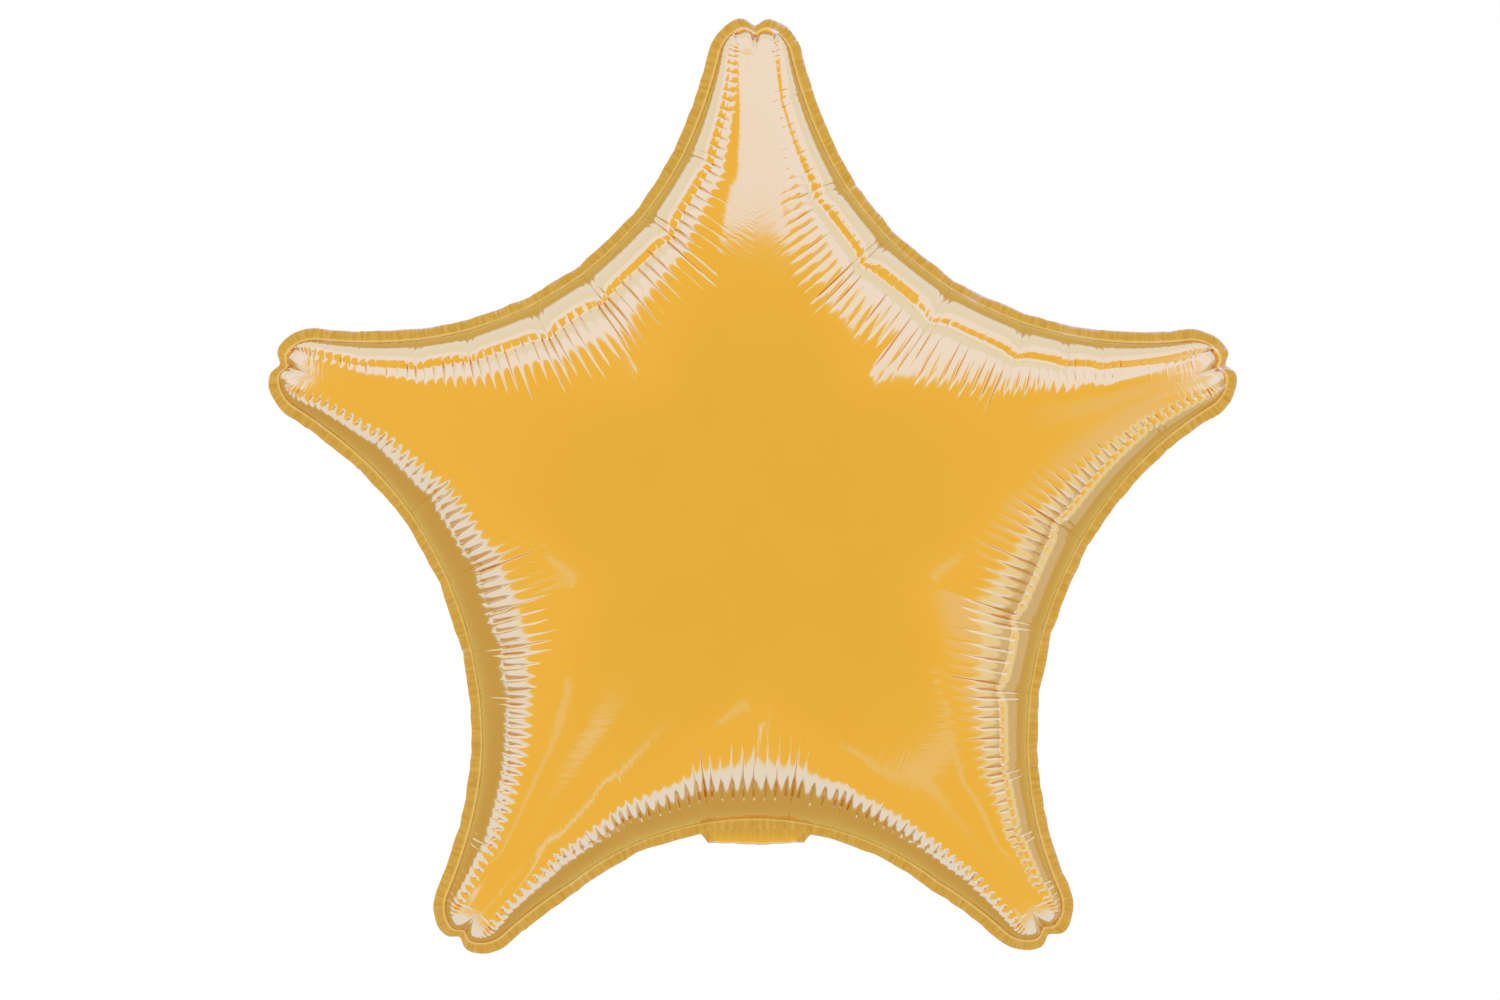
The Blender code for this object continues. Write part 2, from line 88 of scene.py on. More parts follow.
film = {
    "ribsPerSide": 80,
    "ribShares": (0.0, 0.05, 0.13, 0.27, 0.50, 0.73, 0.87, 0.95),  # columns, closest at the valleys
    "ribJitter": 0.22,
    "ribDepth": (0.00078, 0.00050, 0.00045, 0.00045, 0.00050),
    "ribSharpness": (2.6, 4.0, 4.5, 4.5, 3.8),
    "ribOnset": (0.10, 0.55, 0.60, 0.60, 0.90),  # share of a rib's depth right at the crease
    "blockDepth": (0.0, 0.00056, 0.00082, 0.00082, 0.00030),
    "blockFrom": 0.40,  # where a block's flank starts, as a share of half a rib
    "blockFade": 0.07,
    "blockEnd": (0.10, 0.24, 0.22, 0.22, 0.20),  # share of the way in where the short blocks stop
    "ribLengthAt": (0.0, 0.12, 0.22, 0.40, 0.55, 0.80, 1.0),
    "ribLengths": (
        (1.0, 1.0, 0.9, 0.65, 0.45, 0.32, 0.30),
        (1.0, 1.0, 0.8, 0.6, 0.45, 0.35, 0.30),
        (1.0, 0.95, 0.20, 0.05, 0.05, 0.05, 0.05),
        (1.0, 0.95, 0.20, 0.05, 0.05, 0.05, 0.05),
        (1.0, 1.0, 0.9, 0.65, 0.45, 0.32, 0.30),
    ),
    "ribFadeFrom": 0.68,
    "endFade": (0.80, 0.14),  # where along the side ribs and blocks start to fade, and over how much
    "ribGrowth": 0.30,  # share of the way in over which a rib reaches its full depth
    "ribLead": 0.0014,  # how far past the crease the ribs fade out towards the weld
    "ribReachMiddle": 0.054,
    "ribReachShare": 0.86,
    "leastFold": 0.004,
    "streakDepth": 0.00008,
    "tuckStreakDepth": 0.00030,
    "streakSharpness": 3.0,
    "tuckPitch": 0.0017,  # between the fine lines that gather at a deep tuck
    "gatherStrength": 1.3,
    "lipStreakDepth": 0.00025,
    "lipStreakAt": (0.0022, 0.0016),  # distance from the weld, and half width
    "pillowRise": 0.0006,
    "pillowFlatness": 2.6,
    "pillowFullLength": 0.22,
    "bandBulge": (0.0017, 0.0010, 0.0, 0.0, 0.0015),
    "bandFlatness": 6,
    "bulgeTuck": 0.6,  # how much of the bulge a deep tuck takes away
    "tuckDepth": 0.0006,
    "tuckHalfWidth": 0.0022,
    "tuckOnset": 0.004,
    "fullSpan": 0.047,
    "creaseDepth": (0.00165, 0.00040, 0.00003, 0.00003, 0.00100),
    "creaseHalfWidths": (0.0015, 0.0042),  # towards the weld and away from it
    "creaseZigzag": 0.0003,
    "creaseMiddle": (0.0205, 0.0205, 0.0182, 0.0202, 0.0205),
    "creaseCurve": (2.2, 2.2, 3.4, 2.4, 2.2),
    "creaseTip": 0.0055,
    "creaseAside": 0.0083,
    "creaseLeast": 0.0056,
    "creaseCusp": 0.0024,
    "creaseCuspHalfWidth": 0.006,
    "creaseCuspPower": 1.5,
    "edgeDraw": 0.0008,
    "edgeDrawHalfWidth": 0.0055,
    "edgeWave": 0.0006,
    "waveCycles": (23, 37, 61, 97, 151),  # waves round the whole rim
    "waveShares": (0.6, 0.5),  # long waves and short ones
    "waveDivisor": 2.4,
    "stillNeck": (0.20, 0.12),  # where along the bottom side the waves start, and over how much
    "edgeNick": 0.0003,
    "edgeLean": 0.0010,
    "edgeRound": 0.0004,
    "weldRows": ((0.0, 0.95), (0.40, 0.7), (0.72, 0.35), (1.0, 0.0)),  # share across, share of the waves
    "weldMarks": (1.0, 1.0, 1.0, 1.0, 1.8, 1.8),  # one for each row from the edge: 1.8 is the film's foot, which takes the painted highlight
    "bandRows": (0.04, 0.12, 0.26, 0.45, 0.64, 0.78, 0.87, 0.92, 0.96, 1.0),
    "foldRows": (0.02, 0.04, 0.07, 0.12, 0.18, 0.24, 0.31, 0.40, 0.52, 0.65, 0.78, 0.90, 1.0),
    "middleRows": 12,
    "spreads": {  # the range each rib draws its own share from
        "zigzag": (-0.4, 1.0),
        "streak": (0.0, 1.0),
        "ribDepth": (0.6, 1.2),
        "blockDepth": (0.75, 1.1),
        "blockEnd": (0.85, 1.15),
        "ribLength": (0.72, 1.0),
    },
    "seed": 11,
}


def smooth(value):
    value = np.clip(value, 0.0, 1.0)
    return value * value * (3 - 2 * value)


# Each hollow side is one arc that meets the round ends of its two arms smoothly.
halfShare = math.pi / star["arms"]
quarterTurn = math.pi / 2
tipCentre = star["tipReach"] - star["tipRound"]
sideRadius = (
    star["tipRound"] ** 2 - star["notchReach"] ** 2 - tipCentre ** 2
    + 2 * star["notchReach"] * tipCentre * math.cos(halfShare)
) / (2 * (star["notchReach"] - tipCentre * math.cos(halfShare) - star["tipRound"]))
sideCentre = star["notchReach"] + sideRadius
sideSweep = math.atan2(tipCentre * math.sin(halfShare), sideCentre - tipCentre * math.cos(halfShare))
tipSweep = halfShare + sideSweep
halfSide = sideRadius * sideSweep + star["tipRound"] * tipSweep
starCentre = star["notchReach"] + star["bows"][star["bottomSide"]]


def perSide(values, side):
    return np.array(values)[side]


def seamStation(place):
    # Axes have x towards the side's middle and y towards the arm.
    along = np.abs(place) * halfSide
    angle = np.minimum(along / sideRadius, sideSweep)
    fromEnd = np.clip((halfSide - along) / star["tipRound"], 0.0, tipSweep)
    onSide = along < sideRadius * sideSweep
    turn = halfShare - fromEnd
    edgeX = np.where(onSide, sideCentre - sideRadius * np.cos(angle),
                     tipCentre * math.cos(halfShare) + star["tipRound"] * np.cos(turn))
    edgeY = np.where(onSide, sideRadius * np.sin(angle),
                     tipCentre * math.sin(halfShare) + star["tipRound"] * np.sin(turn))
    inX = np.where(onSide, -np.cos(angle), -np.cos(turn))
    inY = np.where(onSide, np.sin(angle), -np.sin(turn))
    fromAxis = np.sin(halfShare + angle)
    return {
        "edge": (edgeX, edgeY),
        "inward": (inX, inY),
        "span": np.where(onSide, sideCentre * math.sin(halfShare) / fromAxis - sideRadius, star["tipRound"]),
        "reach": np.where(onSide, sideCentre * np.sin(angle) / fromAxis, tipCentre),
        "fromEnd": fromEnd,
        "onSide": onSide,
    }


def filmHeight(station, run):
    # The film's height off the seam's plane, and how far its section has turned there.
    bellied = station["span"] - star["weldWidth"]
    share = np.clip((run - star["weldWidth"]) / bellied, 0.0, 1.0)
    sine = np.sqrt(1 - (1 - share) ** star["fullness"])
    rise = star["belly"] - star["tipBelly"]
    axisHeight = star["tipBelly"] + rise * (1 - (station["reach"] / tipCentre) ** 2)
    slope = -2 * rise * station["reach"] / tipCentre ** 2
    inX, inY = station["inward"]
    towardEnd = inX * math.cos(halfShare) + inY * math.sin(halfShare)
    lag = np.where(station["onSide"], (1 - share) * share ** 2, sine - share)
    height = star["weldThickness"] / 2 + axisHeight * sine - lag * bellied * slope * towardEnd
    return height, np.arcsin(sine)


def leanAt(heading):
    turn = (heading / (2 * halfShare)) % star["arms"]
    arm = np.floor(turn).astype(int)
    leans = np.radians(np.array(star["leans"]))
    first = leans[arm % star["arms"]]
    return first + (leans[(arm + 1) % star["arms"]] - first) * smooth(turn - arm)


def foldDepth(arm, aside, fromTip, rise):
    depth = np.zeros_like(aside)
    for number, folds in enumerate(armFolds):
        here = arm == number
        for start, end, length, deep, halfWidth in folds:
            way = np.clip(fromTip[here] * 1000 / length, 0.0, 1.0)
            gap = aside[here] * 1000 - start - (end - start) * way
            depth[here] += deep / 1000 * np.exp(-(gap / halfWidth) ** 2) * (1 - smooth(way))
    return depth * np.sin(rise)


def filmPoint(side, place, station, run, lift, flatHeight=None):
    height, rise = filmHeight(station, run)
    if flatHeight is not None:
        height = np.full_like(run, flatHeight)
        rise = np.zeros_like(run)
    share = np.clip((run - star["weldWidth"]) / (station["span"] - star["weldWidth"]), 0.0, 1.0)
    reach = perSide(star["bowLengths"], side)
    bow = perSide(star["bows"], side) * np.maximum(1 - (place / reach) ** 2, 0.0) * (1 - share) ** 2
    run = run - lift * np.cos(rise) - bow
    height = height + lift * np.sin(rise)
    angle = math.radians(star["cleftHalfAngle"])
    cleft = np.where(station["onSide"], 0.0, np.exp(-(station["fromEnd"] / angle) ** 2))
    run = run + star["cleftDepth"] * cleft * (1 - run / station["span"])
    x = station["edge"][0] + station["inward"][0] * run
    y = station["edge"][1] + station["inward"][1] * run
    aside = x * math.sin(halfShare) - y * math.cos(halfShare)
    fromTip = star["tipReach"] - x * math.cos(halfShare) - y * math.sin(halfShare)
    wall = 1 + np.abs(aside / star["valleyHalfWidth"]) ** star["valleyFlatness"]
    valley = star["valleyDepth"] * (1 - smooth(fromTip / star["valleyLength"])) / wall
    height = height - valley * np.sin(rise)
    heading = halfShare * (2 * side + 1) + np.arctan2(np.where(place < 0, -y, y), x)
    arm = np.rint(heading / (2 * halfShare)).astype(int) % star["arms"]
    height = height - foldDepth(arm, np.where(place < 0, aside, -aside), fromTip, rise)
    heading = heading + leanAt(heading)
    away = np.hypot(x, y)
    stretch = smooth((away - star["stretchFrom"]) / (tipCentre - star["stretchFrom"]))
    away = away + np.array(star["stretches"])[arm] * stretch
    return np.stack([away * np.sin(heading), -height, starCentre + away * np.cos(heading)], axis=-1)


def ribColumns(draw):
    # Valleys along each side, jittered, with the nearest one moved to each deep tuck, and columns
    # between them. Each column ends at an even place on the arm's axis, where the two sides meet.
    count = film["ribsPerSide"]
    even = np.linspace(-1, 1, count + 1)
    rows = []
    for number, tucks in enumerate(deepTucks):
        anchors = {0: -1.0, count: 1.0}
        for place, strength in tucks:
            nearest = int(round((place + 1) / 2 * count))
            for step in (-1, 0, 1):
                anchors[nearest + step] = place + step * film["tuckPitch"] / halfSide
        keys = sorted(anchors)
        places = np.interp(np.arange(count + 1), keys, [anchors[key] for key in keys])
        jitter = draw.uniform(-1, 1, count + 1) * film["ribJitter"] / count
        jitter[keys] = 0
        places = places + jitter
        for rib in range(count):
            for share in film["ribShares"]:
                rows.append((number, places[rib] + (places[rib + 1] - places[rib]) * share,
                             even[rib] + (even[rib + 1] - even[rib]) * share, share,
                             number * count + rib))
    side, start, end, phase, rib = np.array(rows).T
    return {"side": side.astype(int), "start": start, "end": end, "phase": phase, "rib": rib.astype(int)}


def tuckPull(side, place, halfWidth, power=1):
    pull = np.zeros_like(place)
    for number, tucks in enumerate(deepTucks):
        here = side == number
        for spot, strength in tucks:
            gap = np.abs(place[here] - spot) * halfSide / halfWidth
            pull[here] = np.maximum(pull[here], strength * np.exp(-gap ** power))
    return pull


def pillowShare(side, place):
    # How full the pillow is between the two deep tucks on either side of a place.
    full = np.zeros_like(place)
    for number, tucks in enumerate(deepTucks):
        ends = [-1.0] + [spot for spot, strength in tucks] + [1.0]
        for first, second in zip(ends, ends[1:]):
            here = (side == number) & (place >= first) & (place <= second)
            across = np.abs(2 * (place[here] - first) / (second - first) - 1)
            size = min(1.0, (second - first) / film["pillowFullLength"])
            full[here] = (1 - across ** film["pillowFlatness"]) * size
    return full


def edgeDraw(side, place):
    drawn = np.zeros_like(place)
    for number, tucks in enumerate(deepTucks):
        here = side == number
        for spot, strength in tucks:
            gap = (place[here] - spot) * halfSide / film["edgeDrawHalfWidth"]
            drawn[here] += film["edgeDraw"] * strength ** 2 * np.exp(-gap ** 2)
    return drawn


def creaseRun(side, place, station):
    deepest = perSide(film["creaseMiddle"], side) - film["creaseTip"]
    base = film["creaseTip"] + deepest * (1 - np.abs(place) ** perSide(film["creaseCurve"], side))
    pull = tuckPull(side, place, film["creaseCuspHalfWidth"])
    run = base + film["creaseCusp"] * pull ** film["creaseCuspPower"] * (1 - np.abs(place) ** 3)
    leastSine = film["creaseAside"] / (star["tipRound"] - film["creaseLeast"])
    sine = np.maximum(np.sin(station["fromEnd"]), leastSine)
    atEnd = np.minimum(run, star["tipRound"] - film["creaseAside"] / sine)
    return np.where(station["onSide"], run, atEnd)


def filmRelief(columns, draw):
    # Everything that shapes the puckers of one sheet, column by column.
    side, start, phase, rib = columns["side"], columns["start"], columns["phase"], columns["rib"]
    station = seamStation(start)
    ribTotal = star["arms"] * film["ribsPerSide"]
    ridge = np.abs(2 * phase - 1)  # 1 in a valley, 0 on the rib between two

    def spread(name):
        return draw.uniform(*film["spreads"][name], ribTotal)[rib]

    crease = creaseRun(side, start, station)
    crease = crease - film["creaseZigzag"] * ridge * spread("zigzag")
    pull = tuckPull(side, start, film["tuckHalfWidth"], 2)
    inner = np.minimum(film["ribReachMiddle"], film["ribReachShare"] * station["span"])
    lengths = np.zeros_like(start)
    for number, known in enumerate(film["ribLengths"]):
        lengths = np.where(side == number, np.interp(np.abs(start), film["ribLengthAt"], known), lengths)
    streak = spread("streak") ** 3
    gathered = np.minimum(1, film["gatherStrength"] * tuckPull(side, start, film["tuckPitch"]))
    fadeFrom, fadeOver = film["endFade"]
    towardMiddle = 1 - smooth((np.abs(start) - fadeFrom) / fadeOver)
    return {
        "side": side,
        "station": station,
        "crease": crease,
        "inner": np.maximum(inner, crease + film["leastFold"]),
        "pull": pull,
        "pillow": pillowShare(side, start),
        "narrow": np.minimum(1.0, station["span"] / film["fullSpan"]),
        "valley": ridge ** perSide(film["ribSharpness"], side),
        "groove": ridge ** film["streakSharpness"],
        "streak": film["streakDepth"] * streak + film["tuckStreakDepth"] * gathered,
        "ribDepth": perSide(film["ribDepth"], side) * spread("ribDepth") * towardMiddle,
        "creaseDepth": perSide(film["creaseDepth"], side),
        "block": np.clip((ridge - film["blockFrom"]) / (1 - film["blockFrom"]), 0, 1),
        "blockDepth": perSide(film["blockDepth"], side) * spread("blockDepth") * towardMiddle,
        "blockEnd": perSide(film["blockEnd"], side) * spread("blockEnd"),
        "ribOnset": perSide(film["ribOnset"], side),
        "ribLength": spread("ribLength") * lengths,
        "bulge": perSide(film["bandBulge"], side),
    }


def filmLift(relief, run):
    # How far pillows, tucks, ribs and the crease carry the film off its plain form.
    weld, crease, pull = star["weldWidth"], relief["crease"], relief["pull"]
    inBand = np.clip((run - weld) / (crease - weld), 0, 1)
    inFolds = np.clip((run - crease) / (relief["inner"] - crease), 0, 1)
    isBand = run <= crease
    onset = smooth((run - weld) / film["tuckOnset"])
    lift = onset * (1 - smooth(inFolds)) * (film["pillowRise"] * relief["pillow"] - film["tuckDepth"] * pull)
    bulge = (1 - (1 - inBand) ** 2) * (1 - inBand ** film["bandFlatness"])
    lift += np.where(isBand, relief["bulge"] * bulge * (1 - film["bulgeTuck"] * pull), 0.0)
    outer, inner = film["creaseHalfWidths"]
    lift -= relief["creaseDepth"] * np.exp(-((run - crease) / np.where(isBand, outer, inner)) ** 2)
    lipAt, lipHalfWidth = film["lipStreakAt"]
    lip = np.exp(-((run - weld - lipAt) / lipHalfWidth) ** 2)
    streaks = relief["streak"] * onset + film["lipStreakDepth"] * lip
    lift -= np.where(isBand, streaks * relief["groove"], 0.0)
    grown = relief["ribOnset"] + (1 - relief["ribOnset"]) * smooth(inFolds / film["ribGrowth"])
    fade = 1 - smooth((inFolds / relief["ribLength"] - film["ribFadeFrom"]) / (1 - film["ribFadeFrom"]))
    nearCrease = np.exp(-np.clip(crease - run, 0, None) / film["ribLead"])
    ribs = np.where(isBand, relief["ribOnset"] * nearCrease, grown * fade)
    lift -= relief["ribDepth"] * ribs * relief["valley"]
    blocks = np.where(isBand, nearCrease, 1 - smooth((inFolds - relief["blockEnd"]) / film["blockFade"]))
    lift -= relief["blockDepth"] * blocks * relief["block"]
    return lift * np.sqrt(relief["narrow"])


def rimWaves(columns, draw):
    # Waves and small nicks of the welded rim, shared by both sheets.
    count = len(columns["start"])
    turn = np.arange(count) / count * 2 * math.pi
    wave = np.zeros(count)
    for cycles in film["waveCycles"]:
        size = draw.uniform(0.5, 1.0) / film["waveDivisor"]
        wave += size * np.sin(cycles * turn + draw.uniform(0, 2 * math.pi))
    stride = len(film["ribShares"])
    nicks = draw.uniform(-1, 1, count // stride)
    fine = np.interp(np.arange(count), np.arange(0, count, stride), nicks, period=count)
    # the rim lies still where the neck leaves it
    stillTo, stillOver = film["stillNeck"]
    still = smooth((np.abs(columns["start"]) - stillTo) / stillOver)
    still = np.where(columns["side"] == star["bottomSide"], still, 1.0)
    longShare, shortShare = film["waveShares"]
    wave = film["edgeWave"] * (longShare * wave + shortShare * fine) * still
    return {"shift": wave, "nick": film["edgeNick"] * (1 + fine) * still}


def sheetRows(columns, relief, rim):
    # Rows of one sheet from the cut edge inward, as (points, share of the rim's wave, distance run).
    side, start, end = columns["side"], columns["start"], columns["end"]
    weld, thick = star["weldWidth"], star["weldThickness"] / 2
    wide = relief["station"]["span"]
    edge = edgeDraw(side, start) + rim["nick"]
    none = np.zeros_like(start)
    rows = []

    def addRow(run, lift, waveShare, flatHeight=None):
        turned = filmHeight(relief["station"], run)[1]
        place = start + (end - start) * smooth(turned / quarterTurn)
        station = seamStation(place)
        moved = run
        if flatHeight is None:
            moved = weld + (run - weld) * (station["span"] - weld) / (wide - weld)
        rows.append((filmPoint(side, place, station, moved, lift, flatHeight), waveShare, run))

    addRow(edge, none, 1.0, 0.0)
    addRow(edge + film["edgeRound"], none, film["weldRows"][0][1], thick)
    for share, waveShare in film["weldRows"][1:]:
        addRow(edge + (weld - edge) * share, none, waveShare, thick)
    for share in film["bandRows"]:
        run = weld + (relief["crease"] - weld) * share
        addRow(run, filmLift(relief, run), 0.0)
    for share in film["foldRows"]:
        run = relief["crease"] + (relief["inner"] - relief["crease"]) * share
        addRow(run, filmLift(relief, run) if share < 1 else none, 0.0)
    return rows


def middleRows(columns, relief):
    # Plain rows from the folds' ends to the arms' axes, with one column to each rib.
    stride = len(film["ribShares"])
    side, start, end = (columns[name][::stride] for name in ("side", "start", "end"))
    station = seamStation(start)
    first = filmHeight(station, relief["inner"][::stride])[1]
    rows = []
    for row in range(1, film["middleRows"] + 1):
        turned = first + (quarterTurn - first) * row / film["middleRows"]
        place = start + (end - start) * smooth(turned / quarterTurn)
        moved = seamStation(place)
        share = 1 - np.cos(turned) ** (2 / star["fullness"])
        run = star["weldWidth"] + (moved["span"] - star["weldWidth"]) * share
        rows.append((filmPoint(side, place, moved, run, np.zeros_like(run)), 0.0, run))
    return rows


class Shell:
    # Collects vertices, faces, their positions along and across the film, and weld marks.
    def __init__(self):
        self.points, self.along, self.across, self.weld, self.faces, self.corners = [], [], [], [], [], []
        self.total = 0

    def add(self, points, along, across, weld):
        self.points.append(points)
        self.along.append(along)
        self.across.append(across)
        self.weld.append(np.full(len(points), weld))
        first = self.total
        self.total += len(points)
        return np.arange(first, self.total)

    def face(self, vertices, wraps, outward):
        # wraps marks the corners that lie one whole turn further along the rim
        order = range(len(vertices)) if outward else range(len(vertices) - 1, -1, -1)
        self.faces.append([int(vertices[i]) for i in order])
        self.corners.append([wraps[i] for i in order])

    def make(self, name, turn):
        mesh = bpy.data.meshes.new(name)
        mesh.from_pydata(np.vstack(self.points).tolist(), [], self.faces)
        mark = mesh.attributes.new("weld", "FLOAT", "POINT")
        mark.data.foreach_set("value", np.concatenate(self.weld))
        along, across = np.concatenate(self.along), np.concatenate(self.across)
        flat = np.array([vertex for face in self.faces for vertex in face])
        wraps = np.array([wrap for corners in self.corners for wrap in corners])
        uv = mesh.uv_layers.new(name="film")
        uv.data.foreach_set("uv", np.stack([along[flat] + wraps * turn, across[flat]], axis=-1).ravel())
        piece = bpy.data.objects.new(name, mesh)
        bpy.context.collection.objects.link(piece)
        bpy.context.view_layer.objects.active = piece
        piece.select_set(True)
        bpy.ops.object.mode_set(mode="EDIT")
        bpy.ops.mesh.select_all(action="SELECT")
        bpy.ops.mesh.remove_doubles(threshold=0.00002)
        bpy.ops.mesh.normals_make_consistent(inside=False)
        bpy.ops.object.mode_set(mode="OBJECT")
        bpy.ops.object.shade_smooth_by_angle(angle=math.radians(45))
        piece.select_set(False)
        return piece


def addSheet(shell, columns, relief, rim, sheet, sharedRim):
    stride = len(film["ribShares"])
    fineCount = len(columns["start"])
    along = (2 * columns["side"] + 1 + columns["start"]) * halfSide
    grid = []
    for number, (points, waveShare, run) in enumerate(sheetRows(columns, relief, rim)):
        if number == 0 and sharedRim is not None:
            grid.append(sharedRim)
            continue
        points = points * (1, sheet, 1)
        points[:, 1] += (rim["shift"] + film["edgeLean"]) * waveShare
        marks = film["weldMarks"]
        grid.append(shell.add(points, along, run, marks[number] if number < len(marks) else 0.0))
    for low, high in zip(grid, grid[1:]):
        for c in range(fineCount):
            n = (c + 1) % fineCount
            last = 1 if n == 0 else 0
            shell.face((low[c], low[n], high[n], high[c]), (0, last, last, 0), sheet == 1)
    coarse = [shell.add(points * (1, sheet, 1), along[::stride], run, 0.0)
              for points, waveShare, run in middleRows(columns, relief)]
    count = fineCount // stride
    for c in range(count):
        n = (c + 1) % count
        last = 1 if n == 0 else 0
        for step in range(stride):
            near, far = grid[-1][c * stride + step], grid[-1][(c * stride + step + 1) % fineCount]
            turned = last if step == stride - 1 else 0
            inner = c if step < stride // 2 else n
            shell.face((coarse[0][inner], near, far), (last if inner == n else 0, 0, turned), sheet == 1)
        middle = grid[-1][c * stride + stride // 2]
        shell.face((coarse[0][c], middle, coarse[0][n]), (0, 0, last), sheet == 1)
    for low, high in zip(coarse, coarse[1:]):
        for c in range(count):
            n = (c + 1) % count
            last = 1 if n == 0 else 0
            shell.face((low[c], low[n], high[n], high[c]), (0, last, last, 0), sheet == 1)
    return grid[0]


def makeBalloon():
    draw = np.random.default_rng(film["seed"])
    columns = ribColumns(draw)
    rim = rimWaves(columns, draw)
    shell = Shell()
    frontRim = addSheet(shell, columns, filmRelief(columns, draw), rim, 1, None)
    addSheet(shell, columns, filmRelief(columns, draw), rim, -1, frontRim)
    return shell.make("foil_balloon", 2 * star["arms"] * halfSide)


balloon = makeBalloon()
print("balloon film", sum(len(face.vertices) - 2 for face in balloon.data.polygons), "triangles")


# The filling neck: both sheets lie flat together, folded up behind the belly, welded along both sides.
neck = {
    "width": 0.042,
    "rootWidth": 0.058,
    "flareLength": 0.012,
    "thickness": 0.0014,
    "foldRadius": 0.0028,
    "drop": 0.0058,
    "rootDepth": 0.010,
    "standoff": 0.0060,
    "hug": 38,  # degrees
    "tabLength": 0.032,
    "corner": 0.007,
    "sideWeld": 0.0035,
    "weldThickness": 0.0004,
    "edgeRound": 0.0006,
    "weldEase": 0.003,
    "creaseWander": (0.06, 70),  # share of the half width, and radians in a metre
    "ripple": (0.0003, 5, 60),  # height, radians over half the width, radians in a metre
    "creases": ((-0.55, 0.00035, 0.05), (-0.12, 0.0005, 0.04), (0.30, 0.0004, 0.06), (0.68, 0.0003, 0.04)),
    "columns": 40,
}


def runAtRise(station, rise):
    share = 1 - math.cos(rise) ** (2 / star["fullness"])
    return star["weldWidth"] + (station["span"] - star["weldWidth"]) * share


def neckPath():
    # The neck's middle line in the plane x = 0, as (y, z): down from inside the body, round the fold,
    # up behind the belly at its standoff, and straight on to the rounded end.
    weld, drop, radius = star["weldWidth"], neck["drop"], neck["foldRadius"]
    lean = film["edgeLean"]
    path = [(0.0, weld + neck["rootDepth"]), (0.0, weld), (lean * 0.55, weld * 0.5), (lean, 0.0)]
    for index in range(13):
        turn = quarterTurn * index / 12
        y = lean + (radius - lean) * (1 - math.cos(turn))
        path.append((y, radius * (1 - math.sin(turn)) - drop))
    middle = seamStation(np.array([0.0]))
    for index in range(1, 21):
        rise = math.radians(neck["hug"]) * index / 20
        run = runAtRise(middle, rise)
        height = filmHeight(middle, run)[0][0]
        share = (run[0] - weld) / (middle["span"][0] - weld)
        run = run[0] + star["bows"][star["bottomSide"]] * (1 - (1 - share) ** 2)
        path.append((height + neck["standoff"] * math.sin(rise), run - neck["standoff"] * math.cos(rise)))
    before, last = np.array(path[-5]), np.array(path[-1])
    way = (last - before) / np.hypot(*(last - before))
    straight = neck["tabLength"] - neck["corner"]
    intoCorner = neck["corner"] * np.sin(np.linspace(0, quarterTurn, 10)[1:])
    for run in (*np.linspace(0, straight, 9)[1:], *(straight + intoCorner)):
        path.append(tuple(last + way * run))
    return np.array(path)


def makeNeck():
    path = neckPath()
    steps = np.hypot(*np.diff(path, axis=0).T)
    runs = np.concatenate([[0.0], np.cumsum(steps)])
    tangent = np.gradient(path, axis=0)
    tangent /= np.hypot(*tangent.T)[:, None]
    normal = np.stack([tangent[:, 1], -tangent[:, 0]], axis=-1)
    flare = smooth(1 - (runs - neck["rootDepth"]) / neck["flareLength"])
    intoCorner = np.clip(neck["corner"] - (runs[-1] - runs), 0, None)
    halfWidth = (neck["width"] + (neck["rootWidth"] - neck["width"]) * flare) / 2
    halfWidth += -neck["corner"] + np.sqrt(neck["corner"] ** 2 - intoCorner ** 2)
    shell = Shell()
    across = np.linspace(-1, 1, neck["columns"] + 1)
    wander, wanderTurn = neck["creaseWander"]
    ripple, acrossTurn, alongTurn = neck["ripple"]
    sheets = []
    for sheet in (1, -1):
        rows = []
        for spot, out, wide, run in zip(path, normal, halfWidth, runs):
            fromSide = wide * (1 - np.abs(across))
            opened = smooth((run - neck["rootDepth"] - star["weldWidth"]) / neck["drop"])
            full = (neck["thickness"] - neck["weldThickness"]) / 2 * opened
            thick = neck["weldThickness"] / 2 * smooth(fromSide / neck["edgeRound"])
            thick = thick + full * smooth((fromSide - neck["sideWeld"]) / neck["weldEase"])
            aside = wander * math.sin(run * wanderTurn)
            crease = sum(deep * np.exp(-((across - at - aside) / halfWide) ** 2)
                         for at, deep, halfWide in neck["creases"])
            offset = sheet * (thick - crease * 0.5 * opened)
            offset = offset + ripple * opened * np.sin(across * acrossTurn + run * alongTurn)
            points = np.stack([across * wide, spot[0] + out[0] * offset, spot[1] + out[1] * offset], axis=-1)
            weld = np.maximum(1 - opened, (fromSide < neck["sideWeld"]).astype(float))
            rows.append(shell.add(points, across * wide, np.full(len(across), run), weld))
        sheets.append(rows)
    front, back = sheets
    for row in range(len(path)):
        back[row][0], back[row][-1] = front[row][0], front[row][-1]
    for rows, outward in ((front, True), (back, False)):
        for low, high in zip(rows, rows[1:]):
            for c in range(neck["columns"]):
                shell.face((low[c], low[c + 1], high[c + 1], high[c]), (0, 0, 0, 0), outward)
    for row, outward in ((0, False), (-1, True)):
        for c in range(neck["columns"]):
            corners = list(dict.fromkeys((front[row][c], front[row][c + 1], back[row][c + 1], back[row][c])))
            shell.face(corners, (0,) * len(corners), outward)
    return shell.make("filling_neck", 0.0)


fillingNeck = makeNeck()
print("filling neck", sum(len(face.vertices) - 2 for face in fillingNeck.data.polygons), "triangles")


def linear(hexColour):
    channels = [int(hexColour[i:i + 2], 16) / 255 for i in (1, 3, 5)]
    return [c / 12.92 if c <= 0.04045 else ((c + 0.055) / 1.055) ** 2.4 for c in channels] + [1.0]


